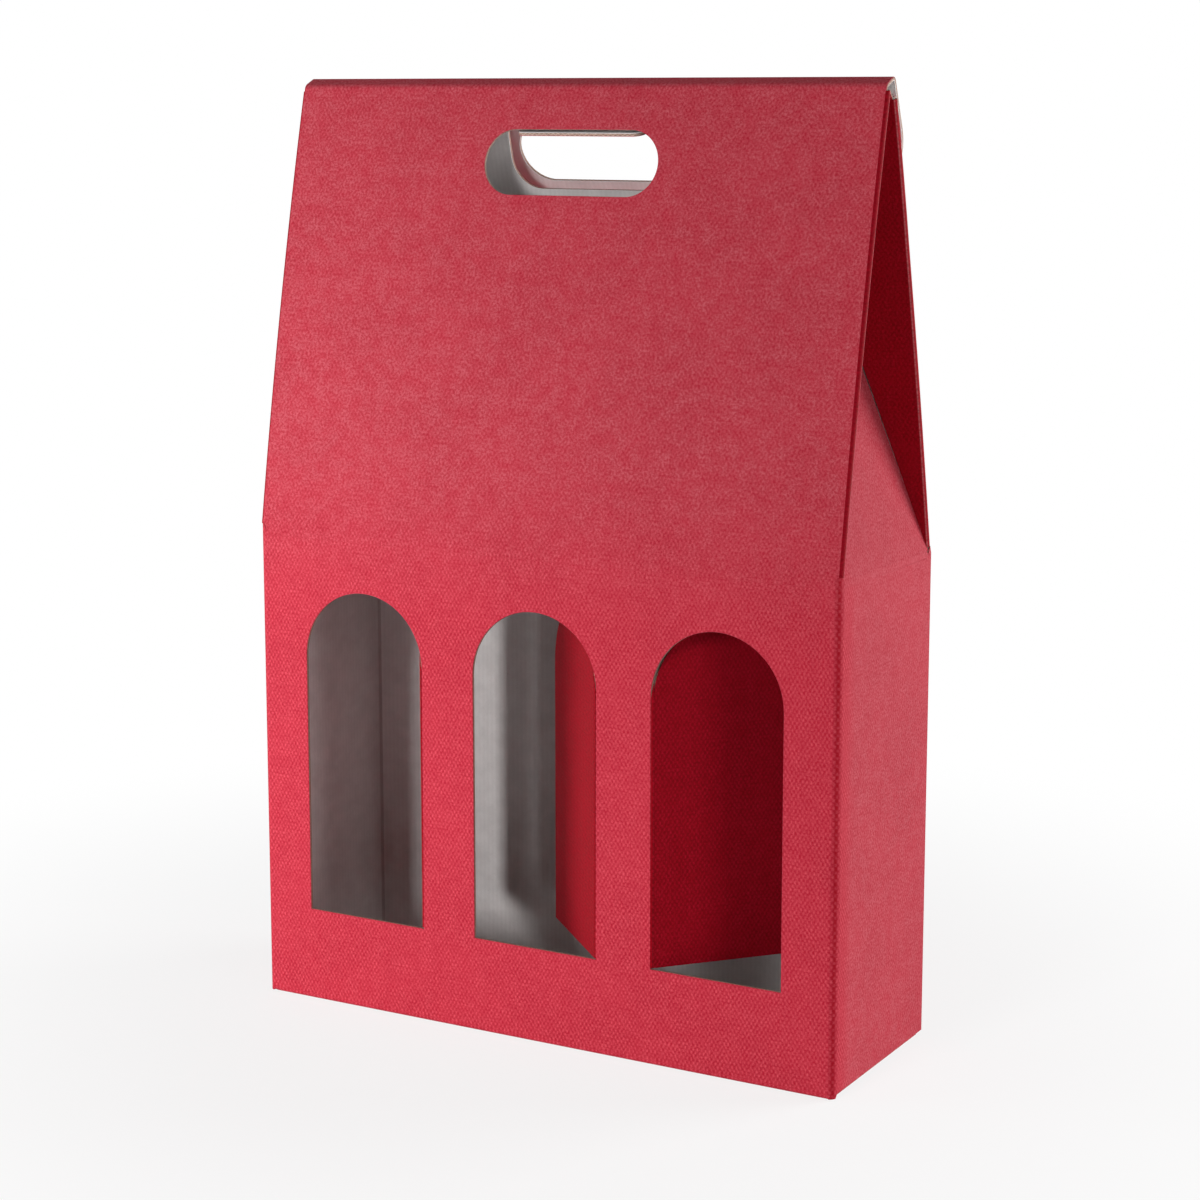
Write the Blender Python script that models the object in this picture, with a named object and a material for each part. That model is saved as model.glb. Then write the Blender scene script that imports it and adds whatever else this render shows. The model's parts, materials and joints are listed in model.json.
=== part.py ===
"""A gable-topped gift box for three bottles, folded from one die-cut sheet of fine corrugated board.

The sheet wraps round as four walls with a locked bottom. Above the shoulder the front and back panels
lean together as a roof, and bellows gussets close its two ends. A narrow ridge strip and a closing flap
pass over the back panel, and a tongue cut from the flap's handle hole is folded forward through the
handle. Each window leaves its cut-out hanging on one side as a divider between two bottles.

Every panel between two creases is an object of its own. Its parent empty lies on the crease that it folds
on: X runs along the crease, Y leads away from it over the panel, and Z points out of the printed face, so
that a negative turn about X folds a panel inwards. The box stands on Z = 0 with its front towards -Y.
"""

import math

import bmesh
import bpy
from mathutils import Matrix, Vector

# Sheet and walls, in metres
BOX_WIDTH = 0.270
BOX_DEPTH = 0.088
SHOULDER_HEIGHT = 0.203
BOARD = 0.0015
GAP = 0.0003

# Roof, ridge and closing flap, measured along the middle of the board
FRONT_SLOPE = 0.1896
RIDGE_FORWARD = 0.0063
STRIP_WIDTH = 0.0073
STRIP_PITCH = math.radians(24.7)
FLAP_LENGTH = 0.0593
FLAP_PITCH = math.radians(27)
FLAP_CORNER_RADIUS = 0.0393
BACK_SLOPE = 0.182
BACK_EDGE_CLEARANCE = 0.0005

# Handle: a round-ended hole in the front panel and in the flap, and a slot in the back panel's top edge
HANDLE_LENGTH = 0.080
HANDLE_HEIGHT = 0.0268
HANDLE_BELOW_FRONT_RIDGE = 0.0177
HANDLE_BELOW_FLAP_CREASE = 0.0195
SLOT_SILL = 0.148
SLOT_CORNER_RADIUS = 0.0134
TONGUE_ROOT_WIDTH = 0.052
TONGUE_TIP_WIDTH = 0.060
TONGUE_LENGTH = 0.0185
TONGUE_CORNER_RADIUS = 0.004
TONGUE_FOLD = math.radians(104.5)

# Gussets, on the flat sheet, and what their free edges are cut back by
GUSSET_RISE = 0.1582
DIAGONAL_SETBACK = 0.0055
FLANK_REACH = 0.0335
FLANK_HEAD_CLEARANCE = 0.0025
MEETING_CLEARANCE = 0.0006

# Windows and the dividers pushed in from them
WINDOW_COUNT = 3
WINDOW_WIDTH = 0.0579
WINDOW_HEIGHT = 0.1403
WINDOW_SPACING = 0.0249
WINDOW_SILL = 0.0402
CUT_CLEARANCE = 0.0004
LEFT_DIVIDER_ANGLE = math.radians(75)
MIDDLE_DIVIDER_ANGLE = math.radians(43.8)
RIGHT_DIVIDER_ANGLE = math.radians(49)

# Locked bottom and glued seam
BOTTOM_OVERLAP = 0.012
BOTTOM_STEP_LENGTH = 0.040
BOTTOM_STEP_RADIUS = 0.004
END_FLAP_LENGTH = 0.060
END_FLAP_TAPER = 0.010
SEAM_WIDTH = 0.025
SEAM_TAPER = 0.012
SEAM_END_CLEARANCE = 0.003

# Rounding of the folded outer corners, as a share of the board, and the facets of an arc
CORNER_ROUND_SHARE = 0.9
CORNER_SEGMENTS = 4
ARC_STEP = math.radians(9)
SHARP_ANGLE = math.radians(40)
WELD_DISTANCE = 0.00002
EMPTY_SIZE = 0.02

PRINTED_RED = (0.60, 0.045, 0.075)
LINER_GREY = (0.52, 0.48, 0.46)
BOARD_ROUGHNESS = 0.75


def clear_scene():
    for obj in list(bpy.data.objects):
        bpy.data.objects.remove(obj)


def new_collection(name):
    collection = bpy.data.collections.new(name)
    bpy.context.scene.collection.children.link(collection)
    return collection


def board_material(name, colour):
    material = bpy.data.materials.new(name)
    material.use_nodes = True
    shader = material.node_tree.nodes["Principled BSDF"]
    shader.inputs["Base Color"].default_value = (*colour, 1)
    shader.inputs["Roughness"].default_value = BOARD_ROUGHNESS
    shader.inputs["Metallic"].default_value = 0
    return material


def setback(fold):
    """How far a panel's square edge stays from its crease, so that folded panels stay GAP apart."""
    return (GAP / 2 + BOARD / 2 * math.sin(fold / 2)) / math.cos(fold / 2)


def fillet(corners):
    """The closed outline through (x, y, radius) corners, each rounded by an arc where its radius isn't 0."""
    outline = []
    for index, (x, y, radius) in enumerate(corners):
        corner = Vector((x, y))
        before = Vector(corners[index - 1][:2]) - corner
        after = Vector(corners[(index + 1) % len(corners)][:2]) - corner
        if radius == 0:
            outline.append(corner)
            continue
        half = before.angle(after) / 2
        before.normalize()
        after.normalize()
        centre = corner + (before + after).normalized() * radius / math.sin(half)
        start = corner + before * radius / math.tan(half) - centre
        end = corner + after * radius / math.tan(half) - centre
        first = math.atan2(start.y, start.x)
        turn = math.remainder(math.atan2(end.y, end.x) - first, math.tau)
        steps = max(1, round(abs(turn) / ARC_STEP))
        for step in range(steps + 1):
            angle = first + turn * step / steps
            outline.append(centre + radius * Vector((math.cos(angle), math.sin(angle))))
    return outline


def trapezium(low, high, half_low, half_high, radius=0):
    """An outline symmetric about Y, from y = low to y = high, rounded by radius at its high corners."""
    foot = [(-half_low, low, 0), (half_low, low, 0)]
    return fillet([*foot, (half_high, high, radius), (-half_high, high, radius)])


def rounded_slot(low, high, half_width):
    """A round-ended hole between y = low and y = high."""
    radius = (high - low) / 2
    corners = [(-half_width, low), (half_width, low), (half_width, high), (-half_width, high)]
    return fillet([(x, y, radius) for x, y in corners])


def arch(middle, low, high, width):
    """A window outline: upright sides under a half circle."""
    left, right = middle - width / 2, middle + width / 2
    return fillet([(left, low, 0), (right, low, 0), (right, high, width / 2), (left, high, width / 2)])


def frame(name, parent, matrix):
    """An empty that lies on a crease, placed in its parent's frame."""
    empty = bpy.data.objects.new(name, None)
    empty.empty_display_size = EMPTY_SIZE
    PARTS.objects.link(empty)
    empty.parent = parent
    empty.matrix_local = matrix
    return empty


def fold(name, parent, place, angle):
    """A crease at place in its parent's frame, with its panel folded inwards by angle."""
    return frame(name, parent, Matrix.Translation(place) @ Matrix.Rotation(-angle, 4, "X"))


def panel(name, crease, outline, holes=(), out=0.0, colour=PRINTED_RED):
    """A flat piece of board with its mid-plane at z = out in the crease's frame."""
    curve = bpy.data.curves.new(name, "CURVE")
    curve.dimensions = "2D"
    curve.fill_mode = "BOTH"
    curve.extrude = BOARD / 2
    for loop in (outline, *holes):
        spline = curve.splines.new("POLY")
        spline.points.add(len(loop) - 1)
        spline.use_cyclic_u = True
        for point, (x, y) in zip(spline.points, loop):
            point.co = (x, y, 0, 1)
    piece = bpy.data.objects.new(name, curve)
    PARTS.objects.link(piece)
    piece.parent = crease
    piece.location.z = out
    curve.materials.append(board_material(name + "_board", colour))
    return piece


def round_side_edges(piece):
    """Turns a panel into a mesh and rounds its two outer edges where the board folds round a corner."""
    bpy.context.view_layer.update()
    graph = bpy.context.evaluated_depsgraph_get()
    mesh = bpy.data.meshes.new_from_object(piece.evaluated_get(graph))
    shape = bmesh.new()
    shape.from_mesh(mesh)
    bmesh.ops.remove_doubles(shape, verts=shape.verts, dist=WELD_DISTANCE)
    bmesh.ops.recalc_face_normals(shape, faces=shape.faces)
    reach = max(vert.co.x for vert in shape.verts) - WELD_DISTANCE

    def at_corner(edge, hand):
        return all(vert.co.x * hand > reach and vert.co.z > 0 for vert in edge.verts)

    edges = [edge for edge in shape.edges if at_corner(edge, 1) or at_corner(edge, -1)]
    width = BOARD * CORNER_ROUND_SHARE
    bmesh.ops.bevel(shape, geom=edges, offset=width, segments=CORNER_SEGMENTS, profile=0.5, affect="EDGES")
    shape.to_mesh(mesh)
    shape.free()
    name, crease, out = piece.name, piece.parent, piece.location.z
    curve = piece.data
    bpy.data.objects.remove(piece)
    bpy.data.curves.remove(curve)
    rounded = bpy.data.objects.new(name, mesh)
    PARTS.objects.link(rounded)
    rounded.parent = crease
    rounded.location.z = out
    mesh.shade_smooth()
    mesh.set_sharp_from_angle(angle=SHARP_ANGLE)
    return rounded


def facing(azimuth, distance, height=0.0):
    """The frame of a wall whose printed face looks out at azimuth, from 0 at the front round to the right."""
    turn = Matrix.Rotation(azimuth, 4, "Z") @ Matrix.Rotation(math.pi / 2, 4, "X")
    return turn @ Matrix.Translation((0, height, distance - BOARD / 2))


def window_middles():
    pitch = WINDOW_WIDTH + WINDOW_SPACING
    return [pitch * (index - (WINDOW_COUNT - 1) / 2) for index in range(WINDOW_COUNT)]


def make_walls():
    """Four walls as one sleeve: the front and back turn the corners, and the sides stand between them."""
    roof_folds = {"front": FRONT_LEAN, "back": BACK_LEAN}
    window_top = WINDOW_SILL + WINDOW_HEIGHT
    windows = [arch(middle, WINDOW_SILL, window_top, WINDOW_WIDTH) for middle in window_middles()]
    for side, azimuth in (("front", 0), ("back", math.pi)):
        base = frame(side + "_base", None, facing(azimuth, BOX_DEPTH / 2))
        top = SHOULDER_HEIGHT - setback(roof_folds[side])
        outline = trapezium(0, top, BOX_WIDTH / 2, BOX_WIDTH / 2)
        round_side_edges(panel(side + "_wall", base, outline, windows if side == "front" else ()))
    top = SHOULDER_HEIGHT - setback(GUSSET_LEAN)
    half = BOX_DEPTH / 2 - BOARD - GAP
    for side, azimuth in (("right", math.pi / 2), ("left", -math.pi / 2)):
        base = frame(side + "_base", None, facing(azimuth, BOX_WIDTH / 2))
        panel(side + "_side_wall", base, trapezium(0, top, half, half))


def make_seam_flap():
    """The glued seam: a flap from the back wall that lies inside the right wall, tapered at both ends."""
    base = frame("seam_base", None, facing(math.pi / 2, BOX_WIDTH / 2 - BOARD - GAP))
    corner = BOX_DEPTH / 2 - BOARD - GAP
    low = FLOOR_TOP + SEAM_END_CLEARANCE
    high = SHOULDER_HEIGHT - SEAM_END_CLEARANCE
    free = corner - SEAM_WIDTH
    glued_side = [(corner, low, 0), (corner, high, 0)]
    free_side = [(free, high - SEAM_TAPER, 0), (free, low + SEAM_TAPER, 0)]
    panel("glue_seam_flap", base, fillet(glued_side + free_side), colour=LINER_GREY)


def bottom_layer(level):
    """The frame of a bottom piece in the given layer, counted up from the surface the box stands on."""
    return Matrix.Translation((0, 0, BOARD / 2 + level * (BOARD + GAP)))


def make_bottom():
    """A bottom that locks as the sleeve opens.

    Two long flaps hook past each other, each with its glued corner, and the end flaps lie on them inside.
    """
    half_width = BOX_WIDTH / 2 - BOARD - GAP
    wall = BOX_DEPTH / 2 - BOARD - GAP
    step = BOTTOM_STEP_LENGTH / 2
    near, far = -BOTTOM_OVERLAP - GAP / 2, BOTTOM_OVERLAP - GAP / 2
    diagonal = GAP * math.sqrt(2)
    crease_run = far + wall
    long_flap = fillet(
        [
            (-half_width + diagonal, -wall, 0),
            (half_width, -wall, 0),
            (half_width, near, 0),
            (step, near, BOTTOM_STEP_RADIUS),
            (-step, far, BOTTOM_STEP_RADIUS),
            (-half_width + crease_run + diagonal, far, 0),
        ]
    )
    fold_end = (-half_width + crease_run, far, 0)
    glue_corner = fillet([(-half_width, -wall, 0), fold_end, (-half_width, far, 0)])
    for side, azimuth in (("front", 0), ("back", math.pi)):
        base = frame(side + "_bottom_base", None, Matrix.Rotation(azimuth, 4, "Z") @ bottom_layer(0))
        panel("bottom_" + side + "_flap", base, long_flap, colour=LINER_GREY)
        panel("bottom_" + side + "_glue_corner", base, glue_corner, colour=LINER_GREY)
    end_flap = trapezium(0, END_FLAP_LENGTH, wall, wall - END_FLAP_TAPER)
    for side, azimuth in (("right", math.pi / 2), ("left", -math.pi / 2)):
        place = Matrix.Rotation(azimuth, 4, "Z") @ bottom_layer(1) @ Matrix.Translation((0, -half_width, 0))
        base = frame(side + "_bottom_base", None, place)
        panel("bottom_" + side + "_flap", base, end_flap, colour=LINER_GREY)


def make_dividers():
    """Window cut-outs, each hanging on one upright edge of its window and pushed in between two bottles."""
    wall = bpy.data.objects["front_base"]
    left, middle, right = window_middles()
    plan = (
        ("left", left, 1, LEFT_DIVIDER_ANGLE),
        ("middle", middle, 1, MIDDLE_DIVIDER_ANGLE),
        ("right", right, -1, RIGHT_DIVIDER_ANGLE),
    )
    width = WINDOW_WIDTH - 2 * CUT_CLEARANCE
    low = WINDOW_SILL + CUT_CLEARANCE
    high = WINDOW_SILL + WINDOW_HEIGHT - CUT_CLEARANCE
    for side, centre, hinge, angle in plan:
        place = Matrix.Translation((centre + hinge * WINDOW_WIDTH / 2, 0, -BOARD / 2))
        turn = Matrix.Rotation(hinge * math.pi / 2, 4, "Z")
        crease = frame(side + "_divider_crease", wall, place @ turn @ Matrix.Rotation(-angle, 4, "X"))
        outline = [(hinge * y, x) for x, y in arch(WINDOW_WIDTH / 2, low, high, width)]
        panel(side + "_divider_flap", crease, outline, out=BOARD / 2)


def flank_outline(roof_top, lean, angle):
    """A gusset flank on its roof panel's side edge, as (distance up the crease, distance away from it).

    It is held back from the diagonal crease, and from the plane where the front and back flanks meet.
    """
    root = GAP / math.sin(angle)
    head = roof_top - FLANK_HEAD_CLEARANCE

    def diagonal(away):
        return (away + BOARD + DIAGONAL_SETBACK) * GUSSET_RISE / (BOX_DEPTH / 2)

    def meeting(up):
        depth = BOX_DEPTH / 2 - BOARD / 2 - up * math.sin(lean) - BOARD / 2 * math.cos(lean)
        return (depth - BOARD * math.cos(angle - lean) - MEETING_CLEARANCE) / math.sin(angle + lean)

    reach = min(FLANK_REACH, meeting(GUSSET_RISE))
    return [
        (diagonal(root), root),
        (head, root),
        (head, meeting(head)),
        (GUSSET_RISE, reach),
        (diagonal(reach), reach),
    ]


def front_roof_outline():
    """The front panel from its shoulder crease to the ridge, and its handle hole."""
    half = BOX_WIDTH / 2
    high = FRONT_SLOPE - setback(RIDGE_FOLD)
    hole_high = FRONT_SLOPE - HANDLE_BELOW_FRONT_RIDGE
    hole = rounded_slot(hole_high - HANDLE_HEIGHT, hole_high, HANDLE_LENGTH / 2)
    return trapezium(setback(FRONT_LEAN), high, half, half), [hole]


def back_roof_outline():
    """The back panel, with a slot down from its top edge that the tongue passes through."""
    half, edge = BOX_WIDTH / 2, HANDLE_LENGTH / 2
    low, high = setback(BACK_LEAN), BACK_SLOPE
    corners = [
        (-half, low, 0),
        (half, low, 0),
        (half, high, 0),
        (edge, high, 0),
        (edge, SLOT_SILL, SLOT_CORNER_RADIUS),
        (-edge, SLOT_SILL, SLOT_CORNER_RADIUS),
        (-edge, high, 0),
        (-half, high, 0),
    ]
    return fillet(corners), []


def make_roof_panel(side, azimuth, lean, flank_angle, outlines):
    """A roof panel on the shoulder crease of its wall, with a gusset flank on each side edge."""
    outline, holes = outlines
    place = facing(azimuth, BOX_DEPTH / 2, SHOULDER_HEIGHT)
    crease = frame(side + "_roof_crease", None, place @ Matrix.Rotation(-lean, 4, "X"))
    round_side_edges(panel(side + "_roof_panel", crease, outline, holes))
    top = max(y for x, y in outline)
    for hand in (1, -1):
        gusset = "right" if hand * math.cos(azimuth) > 0 else "left"
        name = gusset + "_gusset_" + side + "_flank"
        place = Matrix.Translation((hand * (BOX_WIDTH / 2 - BOARD), 0, -BOARD / 2))
        axes = Matrix(((0, 0, hand, 0), (-hand, 0, 0, 0), (0, -1, 0, 0), (0, 0, 0, 1)))
        folded_in = Matrix.Rotation(flank_angle - math.pi / 2, 4, "X")
        flank_crease = frame(name + "_crease", crease, place @ axes @ folded_in)
        outline = [(-hand * along, away) for along, away in flank_outline(top, lean, flank_angle)]
        panel(name, flank_crease, outline, out=BOARD / 2)
    return crease


def make_gusset_centres():
    """The middle triangle of each gusset, folded in on the side wall's shoulder crease."""
    low = setback(GUSSET_LEAN)
    run = BOX_DEPTH / 2 / GUSSET_RISE
    corner = BOX_DEPTH / 2 - DIAGONAL_SETBACK
    tip_half = BOARD / 2
    high = (corner - tip_half) / run
    for side, azimuth in (("right", math.pi / 2), ("left", -math.pi / 2)):
        crease = frame(
            side + "_gusset_crease",
            None,
            facing(azimuth, BOX_WIDTH / 2, SHOULDER_HEIGHT) @ Matrix.Rotation(-GUSSET_LEAN, 4, "X"),
        )
        panel(side + "_gusset_centre", crease, trapezium(low, high, corner - low * run, tip_half))


def make_closure(front_crease):
    """Ridge strip, closing flap and locking tongue, each folded on the one before."""
    half = BOX_WIDTH / 2
    ridge = fold("ridge_crease", front_crease, (0, FRONT_SLOPE, 0), RIDGE_FOLD)
    low, high = setback(RIDGE_FOLD), STRIP_WIDTH - setback(FLAP_FOLD)
    panel("ridge_strip", ridge, trapezium(low, high, half, half))
    flap = fold("flap_crease", ridge, (0, STRIP_WIDTH, 0), FLAP_FOLD)
    outline = trapezium(setback(FLAP_FOLD), FLAP_LENGTH, half, half, FLAP_CORNER_RADIUS)
    hole_top = HANDLE_BELOW_FLAP_CREASE
    hole = rounded_slot(hole_top, hole_top + HANDLE_HEIGHT, HANDLE_LENGTH / 2)
    panel("closing_flap", flap, outline, [hole])
    tongue = fold("tongue_crease", flap, (0, hole_top, -BOARD / 2), TONGUE_FOLD)
    root, tip = TONGUE_ROOT_WIDTH / 2, TONGUE_TIP_WIDTH / 2
    outline = trapezium(GAP, TONGUE_LENGTH, root, tip, TONGUE_CORNER_RADIUS)
    panel("locking_tongue", tongue, outline, out=BOARD / 2, colour=LINER_GREY)


def front_lean():
    """The lean that brings the front panel's top crease to RIDGE_FORWARD in front of the middle."""
    return math.asin((BOX_DEPTH / 2 - BOARD / 2 - RIDGE_FORWARD) / FRONT_SLOPE)


def back_lean():
    """The lean at which the back panel's outer top corner lies BACK_EDGE_CLEARANCE inside the closing flap.

    Along the flap's normal, the corner's distance from its hinge is corner_reach * sin(FLAP_PITCH - lean +
    corner_angle), and the hinge lies offset beyond the place that the corner must reach.
    """
    hinge = Vector((BOX_DEPTH / 2 - BOARD / 2, SHOULDER_HEIGHT))
    crease = Vector((-hinge.x, SHOULDER_HEIGHT))
    crease += FRONT_SLOPE * Vector((math.sin(FRONT_LEAN), math.cos(FRONT_LEAN)))
    crease += STRIP_WIDTH * Vector((math.cos(STRIP_PITCH), math.sin(STRIP_PITCH)))
    normal = Vector((math.cos(FLAP_PITCH), math.sin(FLAP_PITCH)))
    offset = (hinge - crease).dot(normal) + BOARD / 2 + BACK_EDGE_CLEARANCE
    corner_reach = math.hypot(BACK_SLOPE, BOARD / 2)
    corner_angle = math.atan2(BOARD / 2, BACK_SLOPE)
    return FLAP_PITCH + corner_angle + math.asin(offset / corner_reach)


def gusset_angles():
    """The lean of the gusset's middle triangle, and the angle from each roof panel in to its flank."""
    half = BOX_DEPTH / 2
    leans, flanks = [], []
    for roof_lean in (FRONT_LEAN, BACK_LEAN):
        rise = (GUSSET_RISE - half * math.sin(roof_lean)) / math.cos(roof_lean)
        leans.append(math.acos(rise / GUSSET_RISE))
        across = half * math.cos(roof_lean) - rise * math.sin(roof_lean)
        flanks.append(math.atan2(across, GUSSET_RISE * math.sin(leans[-1])))
    return sum(leans) / len(leans), *flanks


# Sizes that follow from the driving ones
FRONT_LEAN = front_lean()
BACK_LEAN = back_lean()
RIDGE_FOLD = math.pi / 2 - STRIP_PITCH - FRONT_LEAN
FLAP_FOLD = math.pi / 2 + STRIP_PITCH - FLAP_PITCH
GUSSET_LEAN, FRONT_FLANK_ANGLE, BACK_FLANK_ANGLE = gusset_angles()
FLOOR_TOP = 2 * BOARD + GAP

clear_scene()
PARTS = new_collection("wine_gift_box")
make_walls()
make_seam_flap()
make_bottom()
make_dividers()
front_roof = make_roof_panel("front", 0, FRONT_LEAN, FRONT_FLANK_ANGLE, front_roof_outline())
make_roof_panel("back", math.pi, BACK_LEAN, BACK_FLANK_ANGLE, back_roof_outline())
make_gusset_centres()
make_closure(front_roof)
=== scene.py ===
"""Looks of a gable-topped gift box for three bottles, folded from one sheet of fine corrugated board.

Each piece is a patch of the flat sheet, given by its outline in sheet coordinates and bent to its place by a
path of straight runs and folds. Its outside is printed, its inside is the bare liner, and its cut edges show
the flutes. A fold that moves in use is a strip of its own, between the panels on either side of it.
Lengths are in metres, except in the materials, where they are in millimetres.
"""

import json
import math

import bmesh
import bpy
from mathutils import Matrix, Vector
from mathutils.geometry import delaunay_2d_cdt


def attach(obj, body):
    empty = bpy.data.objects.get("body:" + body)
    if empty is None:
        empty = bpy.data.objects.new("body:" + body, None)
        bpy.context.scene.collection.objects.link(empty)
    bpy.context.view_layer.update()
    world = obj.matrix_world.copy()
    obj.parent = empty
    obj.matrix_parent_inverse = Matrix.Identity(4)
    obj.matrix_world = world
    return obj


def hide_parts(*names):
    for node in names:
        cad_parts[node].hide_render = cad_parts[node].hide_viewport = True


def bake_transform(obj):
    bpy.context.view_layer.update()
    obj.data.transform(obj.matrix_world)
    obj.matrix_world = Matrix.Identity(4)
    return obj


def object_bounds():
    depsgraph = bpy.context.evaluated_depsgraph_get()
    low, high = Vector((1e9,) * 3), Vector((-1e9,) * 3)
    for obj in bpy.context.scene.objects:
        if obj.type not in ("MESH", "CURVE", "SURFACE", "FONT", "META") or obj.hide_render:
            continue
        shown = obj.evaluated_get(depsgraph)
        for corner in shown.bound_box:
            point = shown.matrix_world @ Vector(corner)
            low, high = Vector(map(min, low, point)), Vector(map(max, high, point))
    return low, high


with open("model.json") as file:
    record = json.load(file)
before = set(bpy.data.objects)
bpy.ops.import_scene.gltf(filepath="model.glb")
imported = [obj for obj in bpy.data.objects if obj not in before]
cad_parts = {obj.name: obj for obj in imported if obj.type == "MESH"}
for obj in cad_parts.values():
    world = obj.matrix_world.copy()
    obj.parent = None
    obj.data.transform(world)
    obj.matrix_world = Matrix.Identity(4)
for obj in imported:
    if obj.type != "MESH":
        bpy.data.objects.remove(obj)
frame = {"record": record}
CAD_LOW, CAD_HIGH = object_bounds()
MM = 0.001

# Board
BOARD = 0.0015
GAP = 0.0003
EDGE_ROUND = 0.00014
EDGE_DEPTH = 0.00022
FLUTE_PITCH = 0.0022

# Box, as driven in the CAD part. The back slope is longer here, so that it reaches the ridge strip
WIDTH = CAD_HIGH.x - CAD_LOW.x
DEPTH = CAD_HIGH.y - CAD_LOW.y
HALF_WIDTH, HALF_DEPTH = WIDTH / 2 - BOARD / 2, DEPTH / 2 - BOARD / 2
FRONT_SLOPE = 0.1896
STRIP_WIDTH = 0.0073
FLAP_LENGTH = 0.0593
FLAP_PITCH = math.radians(27)
FLAP_RADIUS = 0.0393
FLAP_TAPER = 0.0024
BACK_SLOPE = 0.1865
HANDLE_LENGTH = 0.080
HANDLE_HEIGHT = 0.0268
HANDLE_BELOW_RIDGE = 0.0177
HANDLE_BELOW_FLAP_CREASE = 0.0195
SLOT_SILL = 0.148
SLOT_RADIUS = 0.0134
TONGUE_ROOT_WIDTH = 0.052
TONGUE_TIP_WIDTH = 0.060
TONGUE_LENGTH = 0.0185
TONGUE_RADIUS = 0.004
WINDOW_WIDTH = 0.0579
WINDOW_HEIGHT = 0.1403
WINDOW_SPACING = 0.0249
WINDOW_SILL = 0.0402
WINDOW_COUNT = 3
ARCH_FOOT = WINDOW_SILL + WINDOW_HEIGHT - WINDOW_WIDTH / 2
CUT_CLEARANCE = 0.0004
BOTTOM_OVERLAP = 0.012
BOTTOM_STEP_LENGTH = 0.040
BOTTOM_STEP_RADIUS = 0.004
END_FLAP_LENGTH = 0.060
END_FLAP_TAPER = 0.010
SEAM_WIDTH = 0.025
SEAM_TAPER = 0.012
SEAM_END_GAP = 0.003
SEAM_PLANE = WIDTH / 2 - 3 * BOARD / 2 - GAP

# Folds: the mid-board radius of the box's corners, and how far a crease reaches into each panel
CORNER_RADIUS = 0.0025
SEAM_CORNER_RADIUS = 0.00105
TIGHT_RADIUS = 0.0008
FOLD_CRUSH = 0.4
BOTTOM_RADIUS = 0.0013
CREASE_REACH = 0.0013
RIDGE_REACH = 0.0012
FLAP_REACH = 0.0015
FOLD_STEP = math.radians(9)
ARC_STEP = math.radians(4)
BOW_STEP = 0.012

# How far the roof panels bulge between their creases
FRONT_BOW = 0.0019
BACK_BOW = 0.0008
BACK_BOW_LENGTH = 0.125
BACK_TOP_BEND = 0.0018

# Half widths of the roof panels: at the gusset's folds, above them and at the shoulder
VISUAL_CLEARANCE = 0.00001
SIDE_EDGE = WIDTH / 2 - BOARD / 2 * (1 - FOLD_CRUSH) - TIGHT_RADIUS - VISUAL_CLEARANCE
ROOF_HALF = WIDTH / 2 - 0.0010
SHOULDER_HALF = WIDTH / 2 - 0.0030

# Tabs at the sleeve's corners, which close the notches above and below the walls
SLEEVE_CORNERS = (1, 3, 5, 7)
FOOT = 0.0004
FOOT_INSET = 0.2
SHOULDER_TIP = 0.0047
BROW_RISE = 0.6
BROW_INSET = 0.04
CROWN_INSET = 0.3
SEAM_TIP = 0.0046
SEAM_TIP_RISE = SEAM_TIP / 3
SEAM_TIP_INSET = SEAM_TIP / 4

# Gussets. The back flanks' heads fill the hollow under the ridge strip: (up, away from the fold)
GUSSET_RISE = 0.1582
FLANK_HEAD_CLEARANCE = {"front": 0.0008, "back": 0.0006}
FLANK_ROOT_SHARE = 0.6
FLANK_HEAD = 0.0037
BACK_FLANK_HEAD = ((0, 0.0003), (FLANK_HEAD, 0.0010), (FLANK_HEAD, 0.0032), (0, 0.0034))
MEETING_SHARE = 1.6
DIAGONAL_GAP = 0.0006

# Wear and painted shade across a fold: above 0 it is rubbed pale, below 0 it is darkened as painted shade
MID_FOLD = 0.5
WEAR_AND_SHADE_SPREAD = 0.15
CREASE_WEAR = 0.04
CORNER_SHADE = -0.7
CORNER_SHADE_SPREAD = 0.2
DIVIDER_FOLD_SHADE = -0.5
FLANK_WEAR = 0.5
FLANK_WEAR_PEAK = {"front": 0.72, "back": 0.9}
FLANK_WEAR_SPREAD = 0.07

# Meshes
SHARP_ANGLE = math.radians(34)
CDT_MARGIN = 0.01
CDT_SCALE = 1000.0
CDT_OUTPUT = 4
CDT_EPSILON = 0.0005
ON_LINE = 0.00002
OPPOSED = 0.1
MITRE_LIMIT = 0.4
PRINTED, INNER, CUT = 0, 1, 2

# Print
LATTICE_ACROSS = 1.82
LATTICE_UP = 3.0
LATTICE_SHARE = 0.48
# Where the print is hazed pale, partly scuffing and partly painted sheen: heights and half widths in mm
SHEEN_HAZE_HEIGHTS = (165, 250)
SHEEN_HAZE_WIDTHS = (138, 148)
# Painted shade up and to the right: how s and t map to the share of the shade colour
SHADE_DRIFT_RANGE = (0, 600, 0.0, 0.30)
OUTER_DEEP = ((0.375, 0.007, 0.022), (0.420, 0.011, 0.028))
OUTER_PALE = ((0.59, 0.056, 0.086), (0.67, 0.080, 0.112))
# A darker, redder copy of the print as painted shade, for the flanks and dividers inside the box
SHADED_PRINT_DEEP = ((0.170, 0.0004, 0.0030), (0.205, 0.0008, 0.0045))
SHADED_PRINT_PALE = ((0.36, 0.002, 0.012), (0.42, 0.005, 0.020))
# How pale the haze of scuffing and painted sheen makes each print, and its colour
OUTER_SHEEN_HAZE, SHADED_PRINT_HAZE = 0.26, 0.0
SHEEN_HAZE_COLOUR = (0.66, 0.30, 0.33)
# The colour of the painted shade up and to the right
SHADE_DRIFT_COLOUR = (0.12, 0.0, 0.005)
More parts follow.
